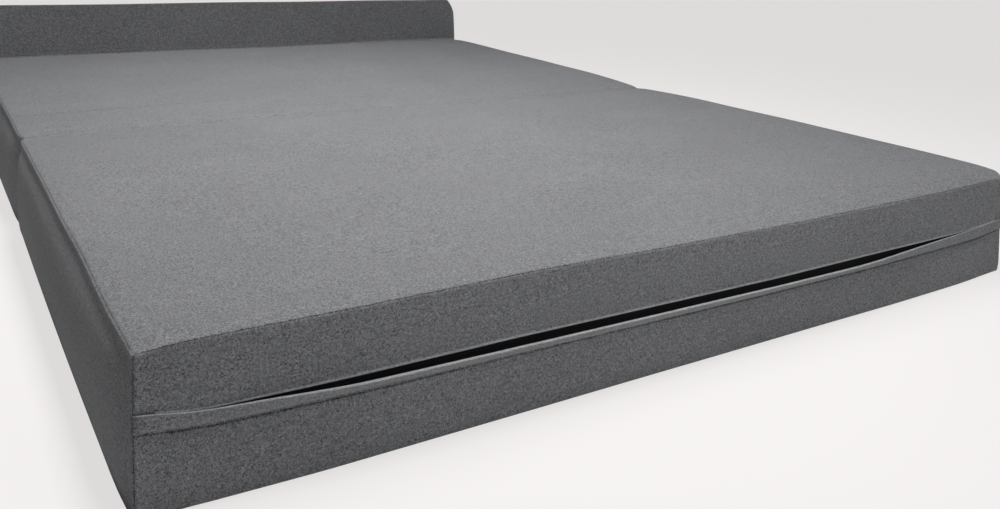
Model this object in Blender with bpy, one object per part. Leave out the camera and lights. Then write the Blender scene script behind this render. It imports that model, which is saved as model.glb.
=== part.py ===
"""Folding foam chair bed: two foam sections and a wedge bolster, each in its own zipped cloth cover.

It is drawn opened out as a bed. The foot section folds over onto the seat section about their
shared top edge, and the bolster swings up on a cloth flap to stand on the stack as the chair's back.
X runs across the bed, Y from the foot to the head, Z up, with the floor at zero.
"""

import math

import bmesh
import bpy
from mathutils import Matrix, Vector

MM = 0.001
INCH = 25.4 * MM

# The two flat sections
BED_WIDTH = 48 * INCH
PAD_THICKNESS = 6 * INCH
FOOT_LENGTH = 900 * MM
SEAT_LENGTH = 926.8 * MM
FOLD_GAP = 2 * MM
FOLD_LIFT = 1 * MM

# The bolster, lying with its thick end against the seat section
BACK_THICK_END = 279 * MM
BACK_THIN_END = 6 * INCH
BACK_REACH = 12 * INCH

# The cloth covers and the foam in them
CLOTH = 1.6 * MM
FOAM_SLACK = 0.5 * MM
EDGE_ROUND = 12 * MM
CROWN = 5 * MM
SIDE_DRAW = 6 * MM
COVER_SEGMENTS = 3
LINING_SEGMENTS = 2
CUTS_ACROSS = 6
CUTS_ALONG = 4
CUTS_UP = 2

# The cloth that joins the sections
STRIP_HALF_WIDTH = 13 * MM
STRIP_THICKNESS = 1.2 * MM
STRIP_END_MARGIN = 20 * MM
FLAP_THICKNESS = 1.6 * MM
FLAP_GAP = 0.5 * MM
FLAP_END_MARGIN = 25 * MM
FLAP_HEM = 1 * MM
HEM_LIFT = 2 * MM
STACK_CLEARANCE = 0.6 * MM

# The zip pocket: a window in the cover with two lips over it, and a groove in the foam behind
ZIP_HEIGHT = 76 * MM
BACK_ZIP_HEIGHT = 76 * MM
WINDOW_HALF = 588 * MM
WINDOW_ABOVE = 10 * MM
WINDOW_BELOW = 18 * MM
LIP_GAP = 0.3 * MM
MOUTH_SHUT = 0.6 * MM
MOUTH_OPEN = 9.5 * MM
LIP_COLUMNS = 16
GROOVE_HALF = 13.6 * MM
GROOVE_DEPTH = 12 * MM

# The zip itself, with depths counted inward from the cover's face
CHAIN_DEPTH = 8.6 * MM
COIL_HALF_THICKNESS = 1.2 * MM
COIL_INNER = 0.7 * MM
COIL_WIDTH = 2.3 * MM
COIL_ROUND = 0.5 * MM
TAPE_GAP = 0.3 * MM
TAPE_HALF_THICKNESS = 0.4 * MM
TAPE_OUTER = 13 * MM
ZIP_END_MARGIN = 4 * MM
STOP_LENGTH = 3 * MM
STOP_HALF_WIDTH = 3.2 * MM
STOP_HALF_THICKNESS = 1.5 * MM

# The slider and its pull
PLATE_LENGTH = 12 * MM
PLATE_HALF_WIDTH = 4.5 * MM
PLATE_TAIL_HALF_WIDTH = 3.4 * MM
PLATE_THICKNESS = 1.2 * MM
CHANNEL_HALF = 1.5 * MM
POST_LENGTH = 3 * MM
POST_HALF_WIDTH = 0.35 * MM
BRIDGE_LENGTH = 6 * MM
BRIDGE_HALF_WIDTH = 0.8 * MM
BRIDGE_CLEAR = 2.6 * MM
BRIDGE_BAR = 0.8 * MM
SLIDER_CLEARANCE = 1 * MM
PULL_LENGTH = 28 * MM
PULL_HALF_WIDTH = 3 * MM
PULL_HALF_THICKNESS = 0.5 * MM
PULL_END_BAR = 0.6 * MM
PULL_EYE_LENGTH = 4.9 * MM
PULL_EYE_HALF_WIDTH = 1.3 * MM
PULL_CORNER = 1.4 * MM
PULL_CORNER_SEGMENTS = 2

# How far a cutter runs past the face that it cuts, and how rounded surfaces are drawn
OVERRUN = 5 * MM
ROUND_PROFILE = 0.5
SMOOTH_ANGLE = math.radians(35)

# Places that follow from the sizes
HALF_WIDTH = BED_WIDTH / 2
FLAP_SPACE = FLAP_THICKNESS + 2 * FLAP_GAP
BED_LENGTH = FOOT_LENGTH + FOLD_GAP + SEAT_LENGTH + FLAP_SPACE + BACK_REACH
FOOT_FRONT = -BED_LENGTH / 2
FOLD_Y = FOOT_FRONT + FOOT_LENGTH + FOLD_GAP / 2
FOLD_Z = PAD_THICKNESS + FOLD_LIFT
SEAT_FRONT = FOLD_Y + FOLD_GAP / 2
SEAT_REAR = SEAT_FRONT + SEAT_LENGTH
FLAP_Y = SEAT_REAR + FLAP_SPACE / 2
BACK_FRONT = SEAT_REAR + FLAP_SPACE
BACK_REAR = BACK_FRONT + BACK_REACH
# The flap carries the bolster to just above the folded foot section, twice the fold's height up
FLAP_Z = FOLD_Z + (STACK_CLEARANCE + HEM_LIFT - FLAP_SPACE / 2) / 2
ZIP_HALF = WINDOW_HALF - ZIP_END_MARGIN
CLOSED_STOP_X = ZIP_HALF - STOP_LENGTH
SLIDER_REST_X = CLOSED_STOP_X - SLIDER_CLEARANCE - PLATE_LENGTH / 2
# The open stop leaves room for the pull's length inside the window
SLIDER_OPEN_X = PULL_LENGTH - PULL_END_BAR + SLIDER_CLEARANCE - WINDOW_HALF
OPEN_STOP_X = SLIDER_OPEN_X - PLATE_LENGTH / 2 - SLIDER_CLEARANCE

CLOTH_GREY = (0.150, 0.151, 0.157)
SEAM_GREY = (0.120, 0.121, 0.126)
FOAM_CREAM = (0.780, 0.720, 0.560)
ZIP_BLACK = (0.012, 0.012, 0.013)
TAPE_BLACK = (0.020, 0.020, 0.022)
SLIDER_BLACK = (0.030, 0.030, 0.032)


def clear_scene():
    """Starts from an empty scene."""
    for old in list(bpy.data.objects):
        bpy.data.objects.remove(old, do_unlink=True)


def surface(name, colour, roughness, metallic=0.0):
    """A plain Principled material."""
    material = bpy.data.materials.new(name)
    material.use_nodes = True
    shader = material.node_tree.nodes["Principled BSDF"]
    shader.inputs["Base Color"].default_value = (*colour, 1.0)
    shader.inputs["Roughness"].default_value = roughness
    shader.inputs["Metallic"].default_value = metallic
    return material


def add_axis(name, place, parent=None):
    """An empty on a joint's axis, which carries the pieces of one moving body."""
    empty = bpy.data.objects.new(name, None)
    bpy.context.scene.collection.objects.link(empty)
    empty["place"] = tuple(place)
    empty.location = Vector(place) - (Vector(parent["place"]) if parent else Vector())
    empty.parent = parent
    return empty


def add_piece(name, bm, carrier, material=None):
    """Makes an object of a mesh drawn in place, with its origin on its carrier's axis."""
    bmesh.ops.recalc_face_normals(bm, faces=bm.faces[:])
    mesh = bpy.data.meshes.new(name)
    bm.to_mesh(mesh)
    bm.free()
    mesh.transform(Matrix.Translation(-Vector(carrier["place"])))
    piece = bpy.data.objects.new(name, mesh)
    bpy.context.scene.collection.objects.link(piece)
    piece.parent = carrier
    if material:
        mesh.materials.append(material)
        mesh.shade_smooth()
        mesh.set_sharp_from_angle(angle=SMOOTH_ANGLE)
    return piece


def add_cutter(name, bm, carrier):
    """A solid that only shapes others."""
    cutter = add_piece(name, bm, carrier)
    cutter.hide_render = True
    cutter.display_type = "WIRE"
    return cutter


def combine(piece, tool, operation):
    """Cuts the tool from the piece, or joins it on."""
    boolean = piece.modifiers.new(tool.name, "BOOLEAN")
    boolean.operation = operation
    boolean.solver = "EXACT"
    boolean.object = tool


def box_mesh(low, high):
    """A plain box between two corners."""
    low, high = Vector(low), Vector(high)
    bm = bmesh.new()
    bmesh.ops.create_cube(bm, size=1)
    bmesh.ops.scale(bm, vec=high - low, verts=bm.verts)
    bmesh.ops.translate(bm, vec=(low + high) / 2, verts=bm.verts)
    return bm


def edges_along(bm, axis):
    """The edges of a box that run along one axis."""
    across = [number for number, name in enumerate("xyz") if name != axis]
    return [
        edge
        for edge in bm.edges
        if all(edge.verts[0].co[number] == edge.verts[1].co[number] for number in across)
    ]


def soften(bm, width, segments, edges=None):
    """Rounds all the edges of a box, or only those given."""
    bmesh.ops.bevel(
        bm,
        geom=edges or bm.edges[:],
        offset=width,
        segments=segments,
        profile=ROUND_PROFILE,
        affect="EDGES",
    )


def cut_across(bm, axis, low, high, cuts):
    """Adds evenly spaced rings of edges between two places on an axis."""
    normal = Vector((axis == "x", axis == "y", axis == "z"))
    for number in range(1, cuts + 1):
        place = low + (high - low) * number / (cuts + 1)
        parts = bm.verts[:] + bm.edges[:] + bm.faces[:]
        bmesh.ops.bisect_plane(bm, geom=parts, plane_co=normal * place, plane_no=normal)


class Section:
    """The outline of one foam section, on the floor between two places along the bed."""

    def __init__(self, front, rear, front_height, rear_height):
        """Takes the section's two ends along the bed and the height of its top at each."""
        self.front = front
        self.rear = rear
        self.front_height = front_height
        self.rear_height = rear_height

    def height_at(self, y):
        """The flat height of the top, before its crown."""
        share = (y - self.front) / (self.rear - self.front)
        return self.front_height + (self.rear_height - self.front_height) * share

    def swell(self, point):
        """Lowers the top towards its edges and draws the sides in towards the corners."""
        across = point.x / HALF_WIDTH
        along = (2 * point.y - self.front - self.rear) / (self.rear - self.front)
        up = point.z / self.height_at(point.y)
        crown = max(0.0, 1 - across**2) * max(0.0, 1 - along**2)
        belly = max(0.0, 1 - along**2) * max(0.0, 1 - (2 * up - 1) ** 2)
        point.x -= SIDE_DRAW * across * (1 - belly)
        point.z -= CROWN * up * (1 - crown)

    def form(self, inset, segments, slack=0):
        """The section's crowned block, drawn in on every side by the inset and then the slack."""
        half, front, rear = HALF_WIDTH - inset, self.front + inset, self.rear - inset
        bm = box_mesh((-half, front, inset), (half, rear, self.front_height - inset))
        for vert in bm.verts:
            if vert.co.z > self.front_height / 2:
                vert.co.z = self.height_at(vert.co.y) - inset
        soften(bm, EDGE_ROUND - inset, segments)
        cut_across(bm, "x", -half, half, CUTS_ACROSS)
        cut_across(bm, "y", front, rear, CUTS_ALONG)
        cut_across(bm, "z", inset, self.front_height - inset, CUTS_UP)
        for vert in bm.verts:
            self.swell(vert.co)
        bmesh.ops.triangulate(bm, faces=bm.faces[:])
        bm.normal_update()
        for vert in bm.verts:
            vert.co -= vert.normal * slack * vert.calc_shell_factor()
        return bm


class ZipPlace:
    """Where a zip lies: depth counts inward from a cover's front or rear face."""

    def __init__(self, face_y, inward, height):
        """Takes the face's place along the bed, the way in from it, and the zip's height."""
        self.face_y = face_y
        self.inward = inward
        self.height = height

    def y(self, depth):
        """The place along the bed at a depth under the face."""
        return self.face_y + self.inward * depth

    def box(self, x_span, depth_span, rise_span):
        """A box by its span across, its depths, and its rise above the zip's line."""
        low_y, high_y = sorted(self.y(depth) for depth in depth_span)
        low = (x_span[0], low_y, self.height + rise_span[0])
        high = (x_span[1], high_y, self.height + rise_span[1])
        return box_mesh(low, high)


def mouth_half(x):
    """Half of the gap between the lips, which part in the middle and meet at the ends."""
    share = x / WINDOW_HALF
    return (MOUTH_SHUT + (MOUTH_OPEN - MOUTH_SHUT) * (1 - share**2)) / 2


def lip_mesh(place, low_edge, high_edge):
    """A strip of folded cloth between two edges given as the rise at each place across."""
    bm = bmesh.new()
    half = WINDOW_HALF - LIP_GAP
    columns = []
    for number in range(LIP_COLUMNS + 1):
        x = half * (2 * number / LIP_COLUMNS - 1)
        low = bm.verts.new((x, place.y(0), place.height + low_edge(x)))
        high = bm.verts.new((x, place.y(0), place.height + high_edge(x)))
        columns.append((low, high))
    for (low, high), (next_low, next_high) in zip(columns, columns[1:]):
        bm.faces.new((low, next_low, next_high, high))
    thick = bmesh.ops.extrude_face_region(bm, geom=bm.faces[:])
    moved = [item for item in thick["geom"] if isinstance(item, bmesh.types.BMVert)]
    bmesh.ops.translate(bm, vec=(0, place.inward * CLOTH, 0), verts=moved)
    return bm


def add_lips(prefix, place, carrier, cloth, seam):
    """The zip's two lips: the folded edge above and the wider placket strip below."""
    upper = lip_mesh(place, mouth_half, lambda x: WINDOW_ABOVE - LIP_GAP)
    add_piece(prefix + "_zip_upper_lip", upper, carrier, seam)
    lower = lip_mesh(place, lambda x: LIP_GAP - WINDOW_BELOW, lambda x: -mouth_half(x))
    add_piece(prefix + "_zip_placket", lower, carrier, cloth)


def add_chain(prefix, place, carrier, tape_material, coil_material, stop_material):
    """The two zip tapes with their coils, and the stops at the coils' ends."""
    for side, sign in (("upper", 1), ("lower", -1)):
        coil_edges = sorted((sign * COIL_INNER, sign * (COIL_INNER + COIL_WIDTH)))
        coil_depths = (CHAIN_DEPTH - COIL_HALF_THICKNESS, CHAIN_DEPTH + COIL_HALF_THICKNESS)
        coil_ends = (OPEN_STOP_X + LIP_GAP, CLOSED_STOP_X - LIP_GAP)
        coil = place.box(coil_ends, coil_depths, coil_edges)
        soften(coil, COIL_ROUND, 1)
        add_piece(f"{prefix}_zip_coil_{side}", coil, carrier, coil_material)
        tape_inner = COIL_INNER + COIL_WIDTH + TAPE_GAP
        tape_edges = sorted((sign * tape_inner, sign * TAPE_OUTER))
        tape_depths = (CHAIN_DEPTH - TAPE_HALF_THICKNESS, CHAIN_DEPTH + TAPE_HALF_THICKNESS)
        tape = place.box((-ZIP_HALF, ZIP_HALF), tape_depths, tape_edges)
        add_piece(f"{prefix}_zip_tape_{side}", tape, carrier, tape_material)
    for end, stop_x in (("open", OPEN_STOP_X - STOP_LENGTH), ("closed", CLOSED_STOP_X)):
        depths = (CHAIN_DEPTH - STOP_HALF_THICKNESS, CHAIN_DEPTH + STOP_HALF_THICKNESS)
        span = (stop_x, stop_x + STOP_LENGTH)
        stop = place.box(span, depths, (-STOP_HALF_WIDTH, STOP_HALF_WIDTH))
        add_piece(f"{prefix}_zip_stop_{end}", stop, carrier, stop_material)


def plate_mesh(place, depth_span):
    """One slider plate, wide at its nose and narrow at its tail."""
    half = PLATE_LENGTH / 2
    bm = place.box(
        (SLIDER_REST_X - half, SLIDER_REST_X + half), depth_span, (-PLATE_HALF_WIDTH, PLATE_HALF_WIDTH)
    )
    for vert in bm.verts:
        if vert.co.x < SLIDER_REST_X:
            rise = math.copysign(PLATE_TAIL_HALF_WIDTH, vert.co.z - place.height)
            vert.co.z = place.height + rise
    return bm


def add_slider(prefix, place, carrier, metal):
    """The slider: two plates joined by a post between the coils, with a bridge for the pull."""
    front = CHAIN_DEPTH - CHANNEL_HALF - PLATE_THICKNESS
    back = CHAIN_DEPTH + CHANNEL_HALF
    body = add_piece(
        prefix + "_zip_slider", plate_mesh(place, (front, front + PLATE_THICKNESS)), carrier, metal
    )
    rear = add_cutter(
        prefix + "_slider_back_plate", plate_mesh(place, (back, back + PLATE_THICKNESS)), carrier
    )
    combine(body, rear, "UNION")
    middle = PLATE_THICKNESS / 2
    post_span = (SLIDER_REST_X, SLIDER_REST_X + POST_LENGTH)
    post_depths = (front + middle, back + middle)
    post = place.box(post_span, post_depths, (-POST_HALF_WIDTH, POST_HALF_WIDTH))
    combine(body, add_cutter(prefix + "_slider_post", post, carrier), "UNION")
    half = BRIDGE_LENGTH / 2
    outer = front - BRIDGE_CLEAR - BRIDGE_BAR
    arch_span = (SLIDER_REST_X - half, SLIDER_REST_X + half)
    arch = place.box(arch_span, (outer, front + middle), (-BRIDGE_HALF_WIDTH, BRIDGE_HALF_WIDTH))
    combine(body, add_cutter(prefix + "_slider_bridge", arch, carrier), "UNION")
    eye_span = (arch_span[0] + BRIDGE_BAR, arch_span[1] - BRIDGE_BAR)
    eye = place.box(eye_span, (outer + BRIDGE_BAR, front), (-PLATE_HALF_WIDTH, PLATE_HALF_WIDTH))
    combine(body, add_cutter(prefix + "_slider_eye", eye, carrier), "DIFFERENCE")


def pull_depth():
    """The depth of the pull's pivot, midway under the bridge."""
    return CHAIN_DEPTH - CHANNEL_HALF - PLATE_THICKNESS - BRIDGE_CLEAR / 2


def add_pull(prefix, place, carrier, metal):
    """The flat pull, whose end bar lies under the bridge with the bridge through its eye."""
    depths = (pull_depth() - PULL_HALF_THICKNESS, pull_depth() + PULL_HALF_THICKNESS)
    span = (SLIDER_REST_X + PULL_END_BAR - PULL_LENGTH, SLIDER_REST_X + PULL_END_BAR)
    bm = place.box(span, depths, (-PULL_HALF_WIDTH, PULL_HALF_WIDTH))
    soften(bm, PULL_CORNER, PULL_CORNER_SEGMENTS, edges_along(bm, "y"))
    pull = add_piece(prefix + "_zip_pull", bm, carrier, metal)
    eye_end = SLIDER_REST_X - PULL_END_BAR
    eye_depths = (depths[0] - OVERRUN, depths[1] + OVERRUN)
    eye = place.box(
        (eye_end - PULL_EYE_LENGTH, eye_end), eye_depths, (-PULL_EYE_HALF_WIDTH, PULL_EYE_HALF_WIDTH)
    )
    combine(pull, add_cutter(prefix + "_pull_eye", eye, carrier), "DIFFERENCE")


def add_section(prefix, section, place, carrier, materials):
    """A cover with its zip window, and the foam in it with a groove behind the zip."""
    cover = add_piece(prefix + "_cover", section.form(0, COVER_SEGMENTS), carrier, materials["cloth"])
    lining = section.form(CLOTH, LINING_SEGMENTS)
    combine(cover, add_cutter(prefix + "_cover_hollow", lining, carrier), "DIFFERENCE")
    window = place.box(
        (-WINDOW_HALF, WINDOW_HALF), (-OVERRUN, OVERRUN), (-WINDOW_BELOW, WINDOW_ABOVE)
    )
    combine(cover, add_cutter(prefix + "_cover_window", window, carrier), "DIFFERENCE")
    foam_form = section.form(CLOTH, LINING_SEGMENTS, FOAM_SLACK)
    foam = add_piece(prefix + "_foam", foam_form, carrier, materials["foam"])
    groove = place.box(
        (-WINDOW_HALF, WINDOW_HALF), (-OVERRUN, GROOVE_DEPTH), (-GROOVE_HALF, GROOVE_HALF)
    )
    combine(foam, add_cutter(prefix + "_foam_groove", groove, carrier), "DIFFERENCE")
    add_lips(prefix, place, carrier, materials["cloth"], materials["seam"])
    add_chain(prefix, place, carrier, materials["tape"], materials["coil"], materials["slider"])
    slider_axis = add_axis(
        prefix + "_slider_axis", (SLIDER_REST_X, place.y(CHAIN_DEPTH), place.height), carrier
    )
    add_slider(prefix, place, slider_axis, materials["slider"])
    return slider_axis


def add_pull_on(prefix, place, slider_axis, materials):
    """The pull and the axis that it swings on."""
    pull_axis = add_axis(
        prefix + "_pull_axis", (SLIDER_REST_X, place.y(pull_depth()), place.height), slider_axis
    )
    add_pull(prefix, place, pull_axis, materials["slider"])


def add_fold_strip(carrier, material):
    """The cloth hinge strip that bridges the valley between the two sections' top edges."""
    half = HALF_WIDTH - SIDE_DRAW - STRIP_END_MARGIN
    edge_slope = 2 * CROWN / (FOOT_LENGTH / 2)
    bottom = PAD_THICKNESS - CROWN + edge_slope * STRIP_HALF_WIDTH + FOAM_SLACK
    low = (-half, FOLD_Y - STRIP_HALF_WIDTH, bottom)
    high = (half, FOLD_Y + STRIP_HALF_WIDTH, bottom + STRIP_THICKNESS)
    add_piece("fold_hinge_strip", box_mesh(low, high), carrier, material)


def add_flap(carrier, material):
    """The flap sewn along the seat's top rear edge and the bolster's lower front edge."""
    half = HALF_WIDTH - SIDE_DRAW - FLAP_END_MARGIN
    low = (-half, FLAP_Y - FLAP_THICKNESS / 2, HEM_LIFT + FLAP_HEM)
    high = (half, FLAP_Y + FLAP_THICKNESS / 2, FLAP_Z - FLAP_HEM)
    add_piece("back_flap", box_mesh(low, high), carrier, material)


clear_scene()
MATERIALS = {
    "cloth": surface("grey_cover_cloth", CLOTH_GREY, 0.9),
    "seam": surface("grey_folded_edge", SEAM_GREY, 0.9),
    "foam": surface("cream_foam", FOAM_CREAM, 0.95),
    "tape": surface("black_zip_tape", TAPE_BLACK, 0.85),
    "coil": surface("black_zip_coil", ZIP_BLACK, 0.45),
    "slider": surface("black_slider_metal", SLIDER_BLACK, 0.35, 0.8),
}
ground = add_axis("seat_base", (0, 0, 0))
fold_axis = add_axis("foot_fold_axis", (0, FOLD_Y, FOLD_Z), ground)
flap_axis = add_axis("flap_swing_axis", (0, FLAP_Y, FLAP_Z), ground)
back_axis = add_axis("back_turn_axis", (0, FLAP_Y, HEM_LIFT), flap_axis)

foot = Section(FOOT_FRONT, FOLD_Y - FOLD_GAP / 2, PAD_THICKNESS, PAD_THICKNESS)
foot_zip = ZipPlace(FOOT_FRONT, 1, ZIP_HEIGHT)
foot_slider_axis = add_section("foot", foot, foot_zip, fold_axis, MATERIALS)
add_pull_on("foot", foot_zip, foot_slider_axis, MATERIALS)

seat = Section(SEAT_FRONT, SEAT_REAR, PAD_THICKNESS, PAD_THICKNESS)
add_section("seat", seat, ZipPlace(SEAT_REAR, -1, ZIP_HEIGHT), ground, MATERIALS)
add_fold_strip(ground, MATERIALS["seam"])

back = Section(BACK_FRONT, BACK_REAR, BACK_THICK_END, BACK_THIN_END)
back_zip = ZipPlace(BACK_REAR, -1, BACK_ZIP_HEIGHT)
back_slider_axis = add_section("back", back, back_zip, back_axis, MATERIALS)
add_pull_on("back", back_zip, back_slider_axis, MATERIALS)
add_flap(flap_axis, MATERIALS["seam"])
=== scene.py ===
"""The looks of a folding foam chair bed in zipped grey cloth covers, opened out as a bed."""

import math

import bpy
import numpy as np
from mathutils import Matrix, Vector, noise


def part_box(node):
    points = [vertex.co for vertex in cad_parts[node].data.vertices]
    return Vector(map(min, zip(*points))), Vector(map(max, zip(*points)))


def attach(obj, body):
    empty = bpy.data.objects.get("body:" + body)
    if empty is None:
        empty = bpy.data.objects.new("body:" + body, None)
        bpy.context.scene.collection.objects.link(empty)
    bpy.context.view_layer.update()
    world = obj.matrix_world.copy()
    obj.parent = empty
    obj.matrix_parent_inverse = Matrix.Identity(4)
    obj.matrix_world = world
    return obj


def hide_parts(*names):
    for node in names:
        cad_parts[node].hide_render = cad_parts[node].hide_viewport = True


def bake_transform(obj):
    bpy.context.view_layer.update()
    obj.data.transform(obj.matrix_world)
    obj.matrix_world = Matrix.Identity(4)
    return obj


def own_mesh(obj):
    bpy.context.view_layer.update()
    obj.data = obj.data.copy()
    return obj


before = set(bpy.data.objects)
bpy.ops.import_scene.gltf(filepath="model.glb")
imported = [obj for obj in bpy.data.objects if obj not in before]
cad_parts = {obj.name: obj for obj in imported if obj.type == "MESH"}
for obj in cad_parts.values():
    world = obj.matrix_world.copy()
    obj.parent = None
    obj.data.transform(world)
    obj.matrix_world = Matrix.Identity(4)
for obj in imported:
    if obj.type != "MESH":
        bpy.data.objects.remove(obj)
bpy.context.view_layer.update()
bpy.ops.object.select_all(action="DESELECT")

MM = 0.001

# The camera
# It stands off the bed's front left corner, a little above the knee, and is turned towards the head.
# Its frame is part of a wider one, so the lens is shifted down and to the left.
CAMERA_PLACE = Vector((-0.7218, -1.8708, 0.498))
CAMERA_YAW = math.radians(36.06)
CAMERA_PITCH = math.radians(11.28)
CAMERA_ROLL = math.radians(2.23)
SENSOR_WIDTH = 36.0
FRAME_WIDTH = 1000
FOCAL_PIXELS = 970.4
SHIFT_ACROSS = -0.1096
SHIFT_UP = -0.1345

forward = Vector(
    (
        math.sin(CAMERA_YAW) * math.cos(CAMERA_PITCH),
        math.cos(CAMERA_YAW) * math.cos(CAMERA_PITCH),
        -math.sin(CAMERA_PITCH),
    )
)
level = Vector((math.cos(CAMERA_YAW), -math.sin(CAMERA_YAW), 0))
upright = level.cross(forward)
rightward = math.cos(CAMERA_ROLL) * level + math.sin(CAMERA_ROLL) * upright
upward = -math.sin(CAMERA_ROLL) * level + math.cos(CAMERA_ROLL) * upright
turn = Matrix((rightward, upward, -forward)).transposed()
bpy.ops.object.camera_add(location=CAMERA_PLACE, rotation=turn.to_euler())
camera = bpy.context.object
camera.data.sensor_width = SENSOR_WIDTH
camera.data.lens = FOCAL_PIXELS * SENSOR_WIDTH / FRAME_WIDTH
camera.data.shift_x = SHIFT_ACROSS
camera.data.shift_y = SHIFT_UP
bpy.context.scene.camera = camera


# The cover cloth
# All three covers are cut from one dark grey woven polyester with a matt, slightly heathered
# face. Each seam holds a thin line of painted shade, and each folded edge a painted highlight.
class Wire:
    """A value in a finish's shader, which can be added, scaled and compared like a number."""

    def __init__(self, finish, socket):
        self.finish = finish
        self.socket = socket

    def sum_of(self, operation, *values):
        """A Math node on the values in their order."""
        return self.finish.node("ShaderNodeMath", {"operation": operation}, dict(enumerate(values)))

    def __add__(self, other):
        return self.sum_of("ADD", self, other)

    __radd__ = __add__

    def __sub__(self, other):
        return self.sum_of("SUBTRACT", self, other)

    def __rsub__(self, other):
        return self.sum_of("SUBTRACT", other, self)

    def __mul__(self, other):
        return self.sum_of("MULTIPLY", self, other)

    __rmul__ = __mul__

    def sine(self):
        """The sine of the value."""
        return self.sum_of("SINE", self)

    def fades(self, start, end):
        """One at the start, and smoothly nothing from the end on."""
        ends = {1: start, 2: end, 3: 1.0, 4: 0.0}
        return self.finish.node(
            "ShaderNodeMapRange", {"interpolation_type": "SMOOTHSTEP"}, {0: self, **ends}
        )


class Finish:
    """A material in the making."""

    def __init__(self, name, roughness, metallic=0.0):
        self.material = bpy.data.materials.new(name)
        self.material.use_nodes = True
        self.tree = self.material.node_tree
        self.shader = self.tree.nodes["Principled BSDF"]
        self.shader.inputs["Roughness"].default_value = roughness
        self.shader.inputs["Metallic"].default_value = metallic
        self.place = self.node("ShaderNodeTexCoord", output="Object")

    def node(self, kind, settings=None, inputs=None, output=0):
        """Adds one node, sets it up, fills its sockets and gives one of its outputs."""
        made = self.tree.nodes.new(kind)
        for name, value in (settings or {}).items():
            setattr(made, name, value)
        for name, value in (inputs or {}).items():
            if isinstance(value, Wire):
                self.tree.links.new(value.socket, made.inputs[name])
            else:
                made.inputs[name].default_value = value
        return Wire(self, made.outputs[output])

    def grain(self, cell, detail=2.0, stretch=(1, 1, 1)):
        """Soft random grain about one half, whose cells are so many metres across."""
        scale = tuple(1 / (cell * share) for share in stretch)
        laid = self.node("ShaderNodeMapping", {}, {"Vector": self.place, "Scale": scale})
        return self.node("ShaderNodeTexNoise", {}, {"Vector": laid, "Scale": 1.0, "Detail": detail})

    def axes(self, vector):
        """The three parts of a vector."""
        parts = self.node("ShaderNodeSeparateXYZ", {}, {"Vector": vector}).socket.node.outputs
        return [Wire(self, part) for part in parts]

    def shade(self, colour, light):
        """A colour made lighter or darker by a value."""
        tint = self.node("ShaderNodeCombineColor", {}, {0: light, 1: light, 2: light})
        settings = {"data_type": "RGBA", "blend_type": "MULTIPLY"}
        return self.node("ShaderNodeMix", settings, {0: 1.0, 6: (*colour, 1), 7: tint}, output=2)

    def paint(self, colour):
        """Puts a colour on the surface."""
        self.tree.links.new(colour.socket, self.shader.inputs["Base Color"])

    def relief(self, height, depth):
        """Raises the surface by a height between nothing and one, times a depth in metres."""
        bump = self.node("ShaderNodeBump", {}, {"Height": height, "Distance": depth, "Strength": 1.0})
        self.tree.links.new(bump.socket, self.shader.inputs["Normal"])


CLOTH_COLOUR = (0.205, 0.207, 0.213)
CLOTH_LIGHT = 0.9
THREAD_PITCH = 0.9 * MM
THREAD_SHARE = 0.16
WEAVE_DEPTH = 0.35 * MM
HEATHER_CELL = 1.0 * MM
HEATHER_SHARE = 3.1
FLECK_CELL = 2.6 * MM
FLECK_SHARE = 1.3
SLUB_CELL = 2.0 * MM
SLUB_STRETCH = 9
SLUB_SHARE = 0.35
CLOUD_CELL = 160 * MM
CLOUD_SHARE = 0.2
# How dark and how wide the painted shade along the seams is
SEAM_SHADE = 0.65
SEAM_CORE = 0.4 * MM
SEAM_REACH = 1.7 * MM
# The painted highlight along a folded edge, and how far it reaches
PAINTED_FOLD_HIGHLIGHT = 1.1
FOLD_CORE = 0.3 * MM
FOLD_REACH = 1.6 * MM
SHEEN = 0.12
SHEEN_ROUGHNESS = 0.45


def woven(finish, colour, seams=False, folds=False):
    """Paints a plain weave with its heather, with painted shade along its seams and a painted highlight along
    its folds.
    """
    x, y, z = finish.axes(finish.place)
    turn = 2 * math.pi / THREAD_PITCH
    weave = (x * turn).sine() + (y * turn).sine() + (z * turn).sine()
    heather = finish.grain(HEATHER_CELL, 3.0) - 0.5
    fleck = finish.grain(FLECK_CELL, 2.0) - 0.5
    along = finish.grain(SLUB_CELL, 2.0, (SLUB_STRETCH, 1, 1))
    across = finish.grain(SLUB_CELL, 2.0, (1, SLUB_STRETCH, 1))
    slub = along + across - 1
    cloud = finish.grain(CLOUD_CELL, 3.0) - 0.5
    light = CLOTH_LIGHT + HEATHER_SHARE * heather + FLECK_SHARE * fleck
    light = light + SLUB_SHARE * slub + CLOUD_SHARE * cloud
    # Painted shade: the cloth is darkened in a thin line along each seam, where its groove holds shade
    if seams:
        seam = finish.node("ShaderNodeAttribute", {"attribute_name": "seam"}, output="Fac")
        light = light - SEAM_SHADE * seam.fades(SEAM_CORE, SEAM_REACH)
    # Painted highlight: the cloth is made lighter along the folded edges of the zip's strips, where a fold
    # would catch the light
    if folds:
        fold = finish.node("ShaderNodeAttribute", {"attribute_name": "from_fold"}, output="Fac")
        light = light + PAINTED_FOLD_HIGHLIGHT * fold.fades(FOLD_CORE, FOLD_REACH)
    finish.paint(finish.shade(colour, light))
    finish.relief(THREAD_SHARE * weave + heather + 0.5 * slub, WEAVE_DEPTH)


cloth = Finish("grey_cover_cloth", 0.92)
cloth.shader.inputs["Sheen Weight"].default_value = SHEEN
cloth.shader.inputs["Sheen Roughness"].default_value = SHEEN_ROUGHNESS
woven(cloth, CLOTH_COLOUR, seams=True)


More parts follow.
